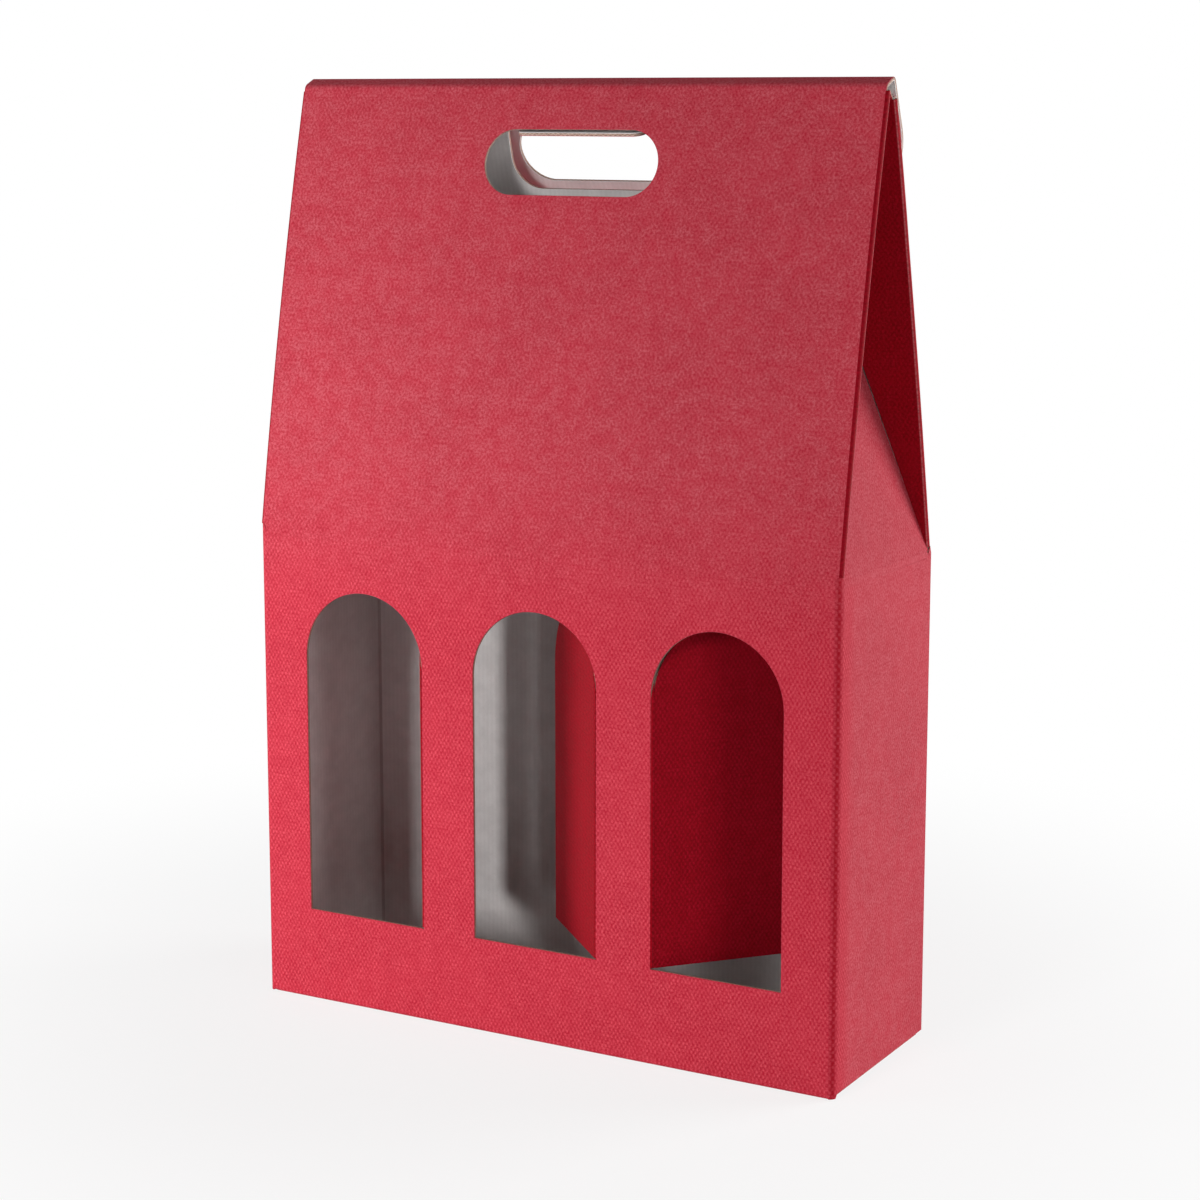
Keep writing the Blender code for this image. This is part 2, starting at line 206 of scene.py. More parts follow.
# The colour of the painted shade in folds
FOLD_SHADE_COLOUR = (0.30, 0.001, 0.008)
RUBBED_COLOUR = (0.74, 0.26, 0.28)

# Liner and cut edges
LINER_COLOURS = ((0.66, 0.63, 0.62), (0.74, 0.71, 0.70))
FLUTE_SHADE = (0.51, 0.47, 0.455)
LINER_FIBRE = (0.52, 0.485, 0.47)
# Painted shade in the liner's folds
LINER_FOLD_SHADE = (0.20, 0.15, 0.14)
KRAFT_COLOURS = ((0.34, 0.22, 0.175), (0.52, 0.36, 0.29))
# Painted shade in the flute hollows of cut edges
HOLLOW_SHADE_COLOUR = (0.13, 0.07, 0.06)

# Camera, floor and lights
CAMERA_PLACE = (0.5440, -0.9511, 0.3842)
CAMERA_PITCH = math.radians(-9.481)
CAMERA_YAW = math.radians(29.493)
CAMERA_LENS = 80.44
CAMERA_SHIFT = -0.045
SENSOR_WIDTH = 36
CLIP_RANGE = (0.02, 40)
FLOOR_RADIUS = 6.0
FLOOR_SIDES = 48
FLOOR_DROP = 0.0002
FLOOR_COLOURS = ((0.84, 0.84, 0.84), (0.88, 0.88, 0.88))
FLOOR_WHITE = (0.15, 0.5, 0.80, 1.0)
WORLD_LEVEL = 0.025
LIT_POINT = (0, -0.044, 0.19)
# Azimuth and elevation in degrees, distance, size and level
LAMPS = {
    "key": (-5, 13, 2.00, (0.46, 0.42), 0.475),
    "left": (-58, -13, 0.62, (0.40, 0.26), 1.04),
    "right": (66, 4, 1.20, (0.36, 0.60), 0.24),
    "right_back": (132, 9, 1.10, (0.60, 0.60), 0.95),
    "top": (-35, 78, 1.30, (0.90, 0.90), 0.11),
}


# Angles and places from the CAD part's joints
BEHAVIOUR = frame["record"]["behaviour"]
JOINTS = {joint["name"]: joint for joint in BEHAVIOUR["joints"]}


def open_angle(name):
    """How far a joint turns when the roof is fully open."""
    for coupling in BEHAVIOUR["couplings"]:
        if coupling["joint"] == name:
            return coupling["ratio"] * math.radians(JOINTS[coupling["follows"]]["range_deg"][1])
    return math.radians(JOINTS[name]["range_deg"][1])


def joint_place(name):
    """A point on a joint's axis."""
    return Vector(JOINTS[name]["pos_m"])


def swing(name):
    """How far a divider stands pushed in from its window."""
    return -math.radians(JOINTS[name]["range_deg"][0])


SHOULDER = joint_place("roof_opening").z
FRONT_LEAN = open_angle("roof_opening")
BACK_LEAN = open_angle("back_roof_opening")
GUSSET_LEAN = open_angle("right_gusset_opening")
FLANK_ANGLE = {
    "front": math.pi / 2 - open_angle("right_front_flank_opening"),
    "back": math.pi / 2 - open_angle("right_back_flank_opening"),
}
STRIP_RUN = joint_place("flap_lift") - joint_place("ridge_fold")
STRIP_PITCH = math.atan2(STRIP_RUN.z, STRIP_RUN.y)
RIDGE_FOLD = math.pi / 2 - STRIP_PITCH - FRONT_LEAN
FLAP_FOLD = math.pi / 2 + STRIP_PITCH - FLAP_PITCH
TONGUE_FOLD = open_angle("tongue_fold")
FLOOR_TOP = 2 * BOARD + GAP
# The window edge that each divider hangs on: 1 is the right one and -1 the left one
DIVIDER_HINGE = {"left": 1, "middle": 1, "right": -1}


# Outlines in sheet coordinates
def direction(angle):
    """The unit vector at an angle."""
    return Vector((math.cos(angle), math.sin(angle)))


def fillet(corners):
    """The closed outline through (x, y, radius) corners, each rounded by an arc where its radius isn't 0."""
    outline = []
    for index, (x, y, radius) in enumerate(corners):
        corner = Vector((x, y))
        if radius == 0:
            outline.append(corner)
            continue
        before = Vector(corners[index - 1][:2]) - corner
        after = Vector(corners[(index + 1) % len(corners)][:2]) - corner
        half = before.angle(after) / 2
        before.normalize()
        after.normalize()
        centre = corner + (before + after).normalized() * radius / math.sin(half)
        start = corner + before * radius / math.tan(half) - centre
        end = corner + after * radius / math.tan(half) - centre
        first = math.atan2(start.y, start.x)
        turn = math.remainder(math.atan2(end.y, end.x) - first, math.tau)
        steps = max(1, round(abs(turn) / ARC_STEP))
        for step in range(steps + 1):
            outline.append(centre + radius * direction(first + turn * step / steps))
    return tidy(outline)


def tidy(outline):
    """The outline without points that lie on the one before."""
    return [point for index, point in enumerate(outline) if (point - outline[index - 1]).length > ON_LINE]


def polygon(points):
    """The closed outline through sharp corners."""
    return fillet([(x, y, 0) for x, y in points])


def box_outline(left, right, low, high):
    """A rectangle."""
    return polygon([(left, low), (right, low), (right, high), (left, high)])


def trapezium(low, high, half_low, half_high, radius=0):
    """A shape with level ends of two half widths, and the upper corners rounded."""
    foot = [(-half_low, low, 0), (half_low, low, 0)]
    return fillet([*foot, (half_high, high, radius), (-half_high, high, radius)])


def rounded_slot(low, high, half_width):
    """A slot with round ends."""
    radius = (high - low) / 2
    corners = [(-half_width, low), (half_width, low), (half_width, high), (-half_width, high)]
    return fillet([(x, y, radius) for x, y in corners])


def arch(left, right, low, high):
    """A window with a round top."""
    radius = (right - left) / 2
    return fillet([(left, low, 0), (right, low, 0), (right, high, radius), (left, high, radius)])


def raised(outline, rise):
    """An outline moved along the sheet."""
    return [Vector((x, rise + y)) for x, y in outline]


# Paths, and the ways to bend a sheet along one
class Path:
    """A line in a plane made of straight runs and folds, read by the distance along it.

    side is 1 where the printed face is on the left of the heading, and -1 where it is on the right.
    """

    def __init__(self, start, heading, side=1):
        self.at = Vector(start)
        self.heading = heading
        self.side = side
        self.length = 0.0
        self.runs = []

    def outward(self, heading):
        return self.side * Vector((-math.sin(heading), math.cos(heading)))

    def line(self, length):
        self.runs.append((self.length, self.at.copy(), self.heading, 0.0))
        self.at += length * direction(self.heading)
        self.length += length
        return self

    def fold(self, radius, angle):
        """Turns away from the printed face by angle, at radius to the middle of the board."""
        self.runs.append((self.length, self.at.copy(), self.heading, radius))
        centre = self.at - radius * self.outward(self.heading)
        self.heading -= self.side * angle
        self.at = centre + radius * self.outward(self.heading)
        self.length += radius * angle
        return self

    def read(self, distance):
        """The point at a distance along the path, and the direction out of the printed face there."""
        start, at, heading, radius = self.runs[0]
        for run in self.runs:
            if run[0] <= distance + ON_LINE / 10:
                start, at, heading, radius = run
        if radius == 0:
            return at + (distance - start) * direction(heading), self.outward(heading)
        turned = heading - self.side * (distance - start) / radius
        centre = at - radius * self.outward(heading)
        return centre + radius * self.outward(turned), self.outward(turned)

    def marks(self, low, high):
        """The distances between low and high at which a sheet is cut so that its folds come out round."""
        found = []
        ends = [run[0] for run in self.runs[1:]] + [self.length]
        for (start, _, _, radius), end in zip(self.runs, ends):
            steps = max(1, round((end - start) / radius / FOLD_STEP)) if radius else 1
            found += [start + (end - start) * step / steps for step in range(steps + 1)]
        return sorted({round(mark, 7) for mark in found if low + ON_LINE < mark < high - ON_LINE})


def over(place, path, bow=None, hand=1):
    """Bends a sheet along a path in the YZ plane of place, with its s along X or against it, by its hand."""

    def bent(s, t, out):
        at, normal = path.read(t)
        out += bow(t) if bow else 0
        return place @ Vector((hand * s, at.x + normal.x * out, at.y + normal.y * out))

    return bent


def beside(place, path, hand, bow=None, fold_end=0):
    """Bends a sheet along a path in the XZ plane of place, with its s along Y or against it, by its hand."""

    def bent(s, t, out):
        at, normal = path.read(t)
        out *= crushed(t, fold_end)
        rise = bow(hand * s) if bow else 0
        return place @ Vector((at.x + normal.x * out, hand * s, at.y + normal.y * out + rise))

    return bent


def around(path):
    """Bends a sheet round the upright corners of a path in plan, with its t upwards."""

    def bent(s, t, out):
        at, normal = path.read(s)
        return Vector((at.x + normal.x * out, at.y + normal.y * out, t))

    return bent


def facing(azimuth, distance, height=0.0):
    """The frame on the mid-plane of a wall whose printed face looks out at azimuth."""
    turn = Matrix.Rotation(azimuth, 4, "Z") @ Matrix.Rotation(math.pi / 2, 4, "X")
    return turn @ Matrix.Translation((0, height, distance - BOARD / 2))


# Meshes
def sheet_faces(loops, cuts, steps):
    """The faces of a flat outline with holes, cut along the given s and t lines, as points and loops."""
    points, edges, faces = [], [], []
    for loop in loops:
        start = len(points)
        points += [Vector(point) * CDT_SCALE for point in loop]
        faces.append(list(range(start, len(points))))
    low = [min(p[axis] for p in loops[0]) - CDT_MARGIN for axis in (0, 1)]
    high = [max(p[axis] for p in loops[0]) + CDT_MARGIN for axis in (0, 1)]
    lines = [((s, low[1]), (s, high[1])) for s in cuts] + [((low[0], t), (high[0], t)) for t in steps]
    for line in lines:
        edges.append((len(points), len(points) + 1))
        points += [Vector(point) * CDT_SCALE for point in line]
    made, _, polygons, _, _, origins = delaunay_2d_cdt(points, edges, faces, CDT_OUTPUT, CDT_EPSILON)
    kept = [list(face) for face, origin in zip(polygons, origins) if 0 in origin and not set(origin) - {0}]
    return [point / CDT_SCALE for point in made], kept


def on_segment(point, segment):
    """Whether a point of the sheet lies on a line between two others."""
    start, end = Vector(segment[0]), Vector(segment[1])
    along = (end - start).normalized()
    offset = point - start
    reach = offset.dot(along)
    if not -ON_LINE <= reach <= (end - start).length + ON_LINE:
        return False
    return (offset - reach * along).length < ON_LINE


def insets(points, faces, folds):
    """The flat faces' open edges, those on folds, and how far each point draws in."""
    uses = {}
    for face in faces:
        for a, b in zip(face, face[1:] + face[:1]):
            uses[frozenset((a, b))] = uses.get(frozenset((a, b)), []) + [(a, b)]
    rim = [pairs[0] for pairs in uses.values() if len(pairs) == 1]
    folded = set()
    normals = {}
    for a, b in rim:
        normals.setdefault(a, [])
        normals.setdefault(b, [])
        if any(on_segment(points[a], fold) and on_segment(points[b], fold) for fold in folds):
            folded.add((a, b))
            continue
        along = (points[b] - points[a]).normalized()
        for index in (a, b):
            normals[index].append(Vector((-along.y, along.x)))
    shifts = {}
    for index, found in normals.items():
        total = sum(found, Vector((0, 0)))
        if len(found) == 2 and total.length > OPPOSED:
            total = total.normalized() / max(MITRE_LIMIT, (1 + found[0].dot(found[1])) / 2) ** 0.5
        shifts[index] = total * EDGE_ROUND
    return rim, folded, shifts


def placed(name, data):
    """A new object in the scene."""
    made = bpy.data.objects.new(name, data)
    bpy.context.scene.collection.objects.link(made)
    return made


def board(
    name, body, outline, place, holes=(), cuts=(), steps=(), folds=(), grain=None, wear=None, painted_shade=False
):
    """A patch of board bent to its place, with its print, its liner and its cut edges.

    cuts and steps are the s and t lines that it is divided along, and the edges on folds keep their print.
    grain gives the place of a point on the whole flat blank, for the materials.
    """
    points, faces = sheet_faces([outline, *holes], cuts, steps)
    rim, folded, shifts = insets(points, faces, folds)
    used = sorted({index for face in faces for index in face})
    layers = (BOARD / 2, BOARD / 2 - EDGE_DEPTH, EDGE_DEPTH - BOARD / 2, -BOARD / 2)
    mesh = bpy.data.meshes.new(name)
    verts, attributes, wear_and_shade_levels = [], [], []
    rows = [{}, {}, {}, {}]

    def add(row, index, out, shift):
        s, t = points[index] + shift
        rows[row][index] = len(verts)
        verts.append(place(s, t, out))
        u, v = grain(s, t) if grain else (s, t)
        attributes.extend((u, v, BOARD / 2 - out))
        wear_and_shade_levels.append(wear(s, t) if wear else 0.0)

    still = Vector((0, 0))
    for index in used:
        add(0, index, layers[0], shifts.get(index, still))
        add(3, index, layers[3], shifts.get(index, still))
    for index in shifts:
        add(1, index, layers[1], still)
        add(2, index, layers[2], still)
    polygons = [[rows[0][index] for index in face] for face in faces]
    kinds = [PRINTED] * len(faces)
    polygons += [[rows[3][index] for index in reversed(face)] for face in faces]
    kinds += [INNER] * len(faces)
    for a, b in rim:
        side = PRINTED if (a, b) in folded else CUT
        for upper, kind in enumerate((PRINTED, side, INNER)):
            lower = upper + 1
            polygons.append([rows[lower][a], rows[lower][b], rows[upper][b], rows[upper][a]])
            kinds.append(kind)
    mesh.from_pydata(verts, [], polygons)
    mesh.attributes.new("sheet", "FLOAT_VECTOR", "POINT").data.foreach_set("vector", attributes)
    mesh.attributes.new("wear", "FLOAT", "POINT").data.foreach_set("value", wear_and_shade_levels)
    # Flanks and dividers take the darker print copy, which paints the shade inside the box
    for material in (SHADED_PRINT if painted_shade else PRINT, LINER, EDGE):
        mesh.materials.append(material)
    mesh.polygons.foreach_set("material_index", kinds)
    mesh.validate()
    mesh.shade_smooth()
    mesh.set_sharp_from_angle(angle=SHARP_ANGLE)
    piece = placed(name, mesh)
    if body:
        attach(piece, body)
    return piece


def wear_and_shade_profile(low, high, level, spread=WEAR_AND_SHADE_SPREAD, peak=MID_FOLD):
    """Rubbed wear where the level is above 0, and painted shade where it is below 0, strongest at a share of
    the way across a fold.
    """

    def wear_and_shade_level(distance):
        share = (distance - low) / (high - low)
        return level * math.exp(-(((share - peak) / spread) ** 2)) if 0 <= share <= 1 else 0.0

    return wear_and_shade_level


def fold_wear_and_shade(low, high, level, spread=WEAR_AND_SHADE_SPREAD, peak=MID_FOLD):
    """The same for a strip whose fold runs along its s."""
    wear_and_shade_level = wear_and_shade_profile(low, high, level, spread, peak)
    return lambda s, t: wear_and_shade_level(t)


def crushed(distance, end):
    """How much of its thickness the board keeps in a tight fold that runs from 0 to end."""
    return 1 - FOLD_CRUSH * math.sin(math.pi * distance / end) if 0 < distance < end else 1.0


def crease(name, half, low, high, path, place, grain, cut_ends=False, taper=0.0):
    """The strip of board over one moving fold, between the distances low and high along its path."""
    outline = trapezium(low, high, half, half - taper)
    folds = [((-half, low), (half, low)), ((-half, high), (half, high))]
    if not cut_ends:
        folds += list(zip(outline, outline[1:] + outline[:1]))
    wear_and_shade_level = fold_wear_and_shade(low, high, CREASE_WEAR)
    piece = board(name, None, outline, place, (), (), path.marks(low, high), folds, grain, wear_and_shade_level)
    start, end = place(0, low, 0), place(0, high, 0)
    tuple(start)
    tuple(end)
    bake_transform(piece)


# Materials
class Nodes:
    """Short calls that add and link the shader nodes of a material or a world."""

    def __init__(self, owner, shader="Principled BSDF"):
        owner.use_nodes = True
        self.owner = owner
        self.tree = owner.node_tree
        self.shader = self.tree.nodes[shader]

    def put(self, socket, value):
        if isinstance(value, bpy.types.NodeSocket):
            self.tree.links.new(value, socket)
        elif isinstance(value, (tuple, list)) and len(value) == 3 and len(socket.default_value) == 4:
            socket.default_value = (*value, 1)
        else:
            socket.default_value = value

    def set(self, name, value):
        self.put(self.shader.inputs[name], value)

    def add(self, kind, inputs=None, **settings):
        node = self.tree.nodes.new("ShaderNode" + kind)
        for key, value in settings.items():
            setattr(node, key, value)
        for key, value in (inputs or {}).items():
            self.put(node.inputs[key], value)
        return node

    def math(self, operation, a, b=0.0, clamp=False):
        return self.add("Math", {0: a, 1: b}, operation=operation, use_clamp=clamp).outputs[0]

    def times(self, a, b):
        return self.math("MULTIPLY", a, b)

    def span(self, value, low, high, to_low=0.0, to_high=1.0):
        inputs = {"Value": value, "From Min": low, "From Max": high, "To Min": to_low, "To Max": to_high}
        return self.add("MapRange", inputs, interpolation_type="SMOOTHSTEP").outputs["Result"]

    def mix(self, factor, a, b):
        node = self.add("Mix", data_type="RGBA")
        self.put(node.inputs[0], factor)
        self.put(node.inputs[6], a)
        self.put(node.inputs[7], b)
        return node.outputs[2]

    def noise(self, vector, scale, detail=2.0, roughness=0.5):
        inputs = {"Vector": vector, "Scale": scale, "Detail": detail, "Roughness": roughness}
        return self.add("TexNoise", inputs).outputs["Fac"]

    def sheet(self):
        """Sheet coordinates in millimetres, as a vector and as s, t and depth below the printed face."""
        source = self.add("Attribute", attribute_name="sheet")
        inputs = {0: source.outputs["Vector"], 1: (1 / MM, 1 / MM, 1 / MM)}
        vector = self.add("VectorMath", inputs, operation="MULTIPLY").outputs[0]
        parts = self.add("SeparateXYZ", {0: vector}).outputs
        return vector, parts[0], parts[1], parts[2]

    def wear(self):
        return self.add("Attribute", attribute_name="wear").outputs["Fac"]

    def seen(self):
        """1 for camera rays and glossy rays, else 0."""
        rays = self.add("LightPath").outputs
        return self.math("MAXIMUM", rays["Is Camera Ray"], rays["Is Glossy Ray"])

    def wave(self, value, period):
        return self.math("COSINE", self.times(value, math.tau / period))

    def flutes(self, s):
        return self.wave(s, FLUTE_PITCH / MM)

    def bump(self, height, distance, strength=1.0, normal=None):
        inputs = {"Height": height, "Distance": distance, "Strength": strength}
        if normal:
            inputs["Normal"] = normal
        return self.add("Bump", inputs).outputs["Normal"]

    def finish(self, colour, roughness, specular, normal):
        self.set("Base Color", colour)
        self.set("Roughness", roughness)
        self.set("Specular IOR Level", specular)
        self.set("Normal", normal)
        return self.owner


def print_material(name, deep, pale, sheen_haze):
    """Matt crimson print with a fine staggered lattice of paler dots, mottled and worn along folds. It also
    carries painted light: a pale haze on the roof and the sides, partly scuffing and partly painted sheen,
    painted shade that deepens it up the box and to the right, and painted shade in some folds.

    deep and pale are pairs of colours that it drifts between; sheen_haze is how pale its hazed areas are.
    """
    n = Nodes(bpy.data.materials.new(name))
    vector, s, t, _ = n.sheet()
    lattice = n.times(n.wave(s, LATTICE_ACROSS), n.wave(t, LATTICE_UP))
    dots = n.span(lattice, -0.35, 0.95)
    broad = n.noise(vector, 0.028, 3.0, 0.6)
    cloud = n.noise(vector, 0.16, 4.0, 0.62)
    grain = n.noise(vector, 0.95, 4.0, 0.75)

    # The lattice fades out on the roof and the sides, where the print is scuffed and where a painted sheen
    # hazes it pale
    roof_sheen_area = n.span(t, *SHEEN_HAZE_HEIGHTS)
    side_sheen_area = n.span(n.math("ABSOLUTE", s), *SHEEN_HAZE_WIDTHS)
    cloudy = n.span(cloud, 0.30, 0.72, 0.35, 1.0)
    scuff_and_sheen = n.times(n.math("MAXIMUM", roof_sheen_area, side_sheen_area), cloudy)
    dark = n.mix(n.span(broad, 0.35, 0.65), *deep)
    light = n.mix(n.span(cloud, 0.3, 0.7), *pale)
    share = n.times(dots, n.span(scuff_and_sheen, 0.0, 1.0, 1.0, 0.30))
    mottle = n.span(grain, 0.36, 0.68, 0.04, 0.66)
    share = n.math("ADD", n.times(share, LATTICE_SHARE), mottle, clamp=True)
    colour = n.mix(share, dark, light)
    # A pale haze there, partly scuffing and partly painted sheen
    sheen_haze_share = n.times(scuff_and_sheen, n.span(grain, 0.38, 0.64, 0.25 * sheen_haze, sheen_haze))
    colour = n.mix(sheen_haze_share, colour, SHEEN_HAZE_COLOUR)
    flecks = n.span(n.noise(vector, 1.7, 2.0, 0.5), 0.70, 0.78, 0.0, 0.4)
    colour = n.mix(flecks, colour, light)

    # Painted shade: the print is darkened a little up the box and to the right, where the light falls off
    shade_drift = n.math("ADD", n.times(s, 2.0), n.times(t, 1.2))
    colour = n.mix(n.span(shade_drift, *SHADE_DRIFT_RANGE), colour, SHADE_DRIFT_COLOUR)

    # Folds: rubbed pale wear where the attribute is above 0, painted shade where it is below 0
    wear_and_shade_level = n.wear()
    fold_shade = n.math("MULTIPLY", wear_and_shade_level, -1.0, clamp=True)
    fold_shade = n.times(fold_shade, n.span(dots, 0.0, 1.0, 1.0, 0.6))
    colour = n.mix(fold_shade, colour, FOLD_SHADE_COLOUR)
    patchy = n.span(n.noise(vector, 0.9, 4.0, 0.65), 0.35, 0.62, 0.35, 1.0)
    colour = n.mix(n.times(n.math("MAXIMUM", wear_and_shade_level, 0.0), patchy), colour, RUBBED_COLOUR)

    n.set("Sheen Weight", 0.04)
    n.set("Sheen Roughness", 0.5)
    normal = n.bump(n.flutes(s), 0.00002, 0.5)
    normal = n.bump(dots, 0.00006, 0.5, normal)
    normal = n.bump(grain, 0.00007, 0.5, normal)
    return n.finish(colour, n.span(cloud, 0.2, 0.8, 0.60, 0.74), 0.04, normal)


def liner_material():
    """Bare grey liner with soft flute lines, paper cloud and a few darker fibres, and painted shade
    darkening it in its folds.
    """
    n = Nodes(bpy.data.materials.new("grey_liner"))
    vector, s, _, _ = n.sheet()
    cloud = n.noise(vector, 0.12, 4.0, 0.6)
    grain = n.noise(vector, 1.6, 3.0, 0.65)
    flutes = n.flutes(s)
    colour = n.mix(n.span(cloud, 0.3, 0.7), *LINER_COLOURS)
    colour = n.mix(n.span(flutes, -1.0, 1.0, 0.0, 0.12), colour, FLUTE_SHADE)
    colour = n.mix(n.span(grain, 0.55, 0.8, 0.0, 0.5), colour, LINER_FIBRE)
    # Painted shade in the folds, from the wear and shade attribute
    folded = n.math("ABSOLUTE", n.wear())
    colour = n.mix(n.span(folded, 0.05, 0.3, 0.0, 0.45), colour, LINER_FOLD_SHADE)
    normal = n.bump(grain, 0.00005, 0.4, n.bump(flutes, 0.00003, 0.5))
    return n.finish(colour, n.span(cloud, 0.2, 0.8, 0.78, 0.88), 0.25, normal)


def edge_material():
    """A cut edge: two liners with the flutes between them, crushed by the die, and the hollows between the
    flutes painted dark as shade.
    """
    n = Nodes(bpy.data.materials.new("cut_edge"))
    vector, s, _, depth = n.sheet()
    wander = n.span(n.noise(vector, 0.7, 3.0, 0.6), 0.2, 0.8, -0.25, 0.25)
    centre = n.math("ADD", n.times(n.flutes(s), 0.32), wander)
    offset = n.math("SUBTRACT", n.math("DIVIDE", depth, BOARD / MM / 2), 1.0)
    hollow_shade = n.span(n.math("ABSOLUTE", n.math("SUBTRACT", offset, centre)), 0.22, 0.5)
    inside = n.span(n.math("ABSOLUTE", offset), 0.62, 0.74, 1.0, 0.0)
    fibre = n.noise(vector, 2.4, 4.0, 0.7)
    kraft = n.mix(n.span(fibre, 0.3, 0.7), *KRAFT_COLOURS)
    colour = n.mix(n.times(hollow_shade, n.times(inside, 0.62)), kraft, HOLLOW_SHADE_COLOUR)
    return n.finish(colour, n.span(fibre, 0.2, 0.8, 0.82, 0.95), 0.2, n.bump(fibre, 0.00012, 0.6))


PRINT = print_material("crimson_print", OUTER_DEEP, OUTER_PALE, OUTER_SHEEN_HAZE)
# The second copy of the print is darker and redder: painted shade for the pieces inside the box
SHADED_PRINT = print_material("crimson_print_painted_shade", SHADED_PRINT_DEEP, SHADED_PRINT_PALE, SHADED_PRINT_HAZE)
LINER, EDGE = liner_material(), edge_material()


# The sleeve: four walls on one sheet, from the seam flap round the back, left, front and right
def window_edges():
    """The left and right edge of each window, from the middle of the front."""
    pitch = WINDOW_WIDTH + WINDOW_SPACING
    middles = [pitch * (index - (WINDOW_COUNT - 1) / 2) for index in range(WINDOW_COUNT)]
    return [(middle - WINDOW_WIDTH / 2, middle + WINDOW_WIDTH / 2) for middle in middles]


def sleeve_path():
    """The walls in plan, at the middle of the board."""
    seam = Path((SEAM_PLANE, HALF_DEPTH - SEAM_WIDTH), math.pi / 2, -1)
    seam.line(SEAM_WIDTH - SEAM_CORNER_RADIUS).fold(SEAM_CORNER_RADIUS, math.pi / 2)
    seam.line(SEAM_PLANE + HALF_WIDTH - SEAM_CORNER_RADIUS - CORNER_RADIUS)
    seam.fold(CORNER_RADIUS, math.pi / 2).line(2 * (HALF_DEPTH - CORNER_RADIUS))
    seam.fold(CORNER_RADIUS, math.pi / 2).line(2 * (HALF_WIDTH - CORNER_RADIUS))
    seam.fold(CORNER_RADIUS, math.pi / 2).line(2 * HALF_DEPTH - CORNER_RADIUS + BOARD / 2 - GAP)
    return seam


def foot_tab(start, end, low):
    """The tab at the foot of a corner."""
    inset = (end - start) * FOOT_INSET
    return [(start + ON_LINE * 2, low), (start + inset, FOOT), (end - inset, FOOT), (end, low)]


def shoulder_tab(start, end, top):
    """The round-shouldered tab at the top of a corner."""
    brow_inset, crown_inset = (end - start) * BROW_INSET, (end - start) * CROWN_INSET
    brow, crown = top + SHOULDER_TIP * BROW_RISE, top + SHOULDER_TIP
    tab = [(end, top), (end - brow_inset, brow), (end - crown_inset, crown)]
    return tab + [(start + crown_inset, crown), (start + brow_inset, brow), (start + ON_LINE * 2, top)]


def sleeve_outline(path, seam_end, low, top, feet, tabs):
    """The flat sleeve: its seam flap, feet, the seam's edge with its own tip, and the shoulder tabs."""
    flap_low, flap_high = FLOOR_TOP + SEAM_END_GAP, SHOULDER - SEAM_END_GAP
    end = path.length
    seam_tip = [(end, low), (end, top + SEAM_TIP_RISE), (end - SEAM_TIP_INSET, top + SEAM_TIP)]
    seam_tip.append((end - SEAM_TIP, top))
    flap_foot = [(0, flap_low + SEAM_TAPER), (seam_end, flap_low), (seam_end, low)]
    flap_head = [(seam_end, top), (seam_end, flap_high), (0, flap_high - SEAM_TAPER)]
    return polygon(flap_foot + sum(feet, []) + seam_tip + sum(tabs, []) + flap_head)


def make_sleeve():
    """The four walls with the windows, and the seam flap inside the right wall."""
    path = sleeve_path()
    starts = [run[0] for run in path.runs] + [path.length]
    seam_end, front = starts[1], starts[6]
    corners = [(starts[index], starts[index + 1]) for index in SLEEVE_CORNERS]
    top = SHOULDER - CREASE_REACH
    low = BOTTOM_RADIUS + BOARD / 2
    feet = [foot_tab(start, end, low) for start, end in corners]
    tabs = [shoulder_tab(start, end, top) for start, end in reversed(corners)]
    outline = sleeve_outline(path, seam_end, low, top, feet, tabs)
    folds = [((seam_end, low), (path.length, low)), ((seam_end, top), (path.length, top))]
    for tab in feet + tabs:
        folds += list(zip(tab, tab[1:]))
    centre = front + HALF_WIDTH - CORNER_RADIUS
    holes = []
    for side, (left, right) in zip(DIVIDER_HINGE, window_edges()):
        holes.append(arch(centre + left, centre + right, WINDOW_SILL, WINDOW_SILL + WINDOW_HEIGHT))
        hinge = centre + (right if DIVIDER_HINGE[side] > 0 else left)
        folds.append(((hinge, WINDOW_SILL), (hinge, ARCH_FOOT)))
    # Painted shade along the sleeve's upright corners, where they turn away from the light
    shaded_corners = [wear_and_shade_profile(start, end, CORNER_SHADE, CORNER_SHADE_SPREAD) for start, end in corners]

    def grain(s, t):
        return s - centre, t

    def wear_and_shade_level(s, t):
        return min(corner(s) for corner in shaded_corners)

    marks = path.marks(0, path.length)
    piece = board("sleeve_walls", "sleeve", outline, around(path), holes, marks, (), folds, grain, wear_and_shade_level)
    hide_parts("front_wall", "back_wall", "left_side_wall", "right_side_wall", "glue_seam_flap")


# The roof
def wall_chain(lean, azimuth, distance):
    """The frame of a wall's shoulder and a path over its crease, up to where the panel above it starts."""
    place = facing(azimuth, distance, SHOULDER)
    path = Path((-CREASE_REACH, 0), 0)
    return place, path.fold(CREASE_REACH / math.tan(lean / 2), lean)


def bulge(up, length, height):
    """A bulge of the given height over a length from the shoulder crease."""
    share = (up - CREASE_REACH) / length
    return 4 * height * share * (1 - share) if 0 < share < 1 else 0.0


def front_bow(up):
    """The front panel bulges over its whole height."""
    return bulge(up, FRONT_SLOPE - CREASE_REACH - RIDGE_REACH, FRONT_BOW)


def back_bow(up):
    """The back panel bulges too, and its top is pressed in by the closing flap."""
    fold_shade = max(0, up - BACK_BOW_LENGTH) / (BACK_SLOPE - BACK_BOW_LENGTH)
    return bulge(up, BACK_BOW_LENGTH, BACK_BOW) - BACK_TOP_BEND * fold_shade**2


ROOF_BOW = {"front": front_bow, "back": back_bow}


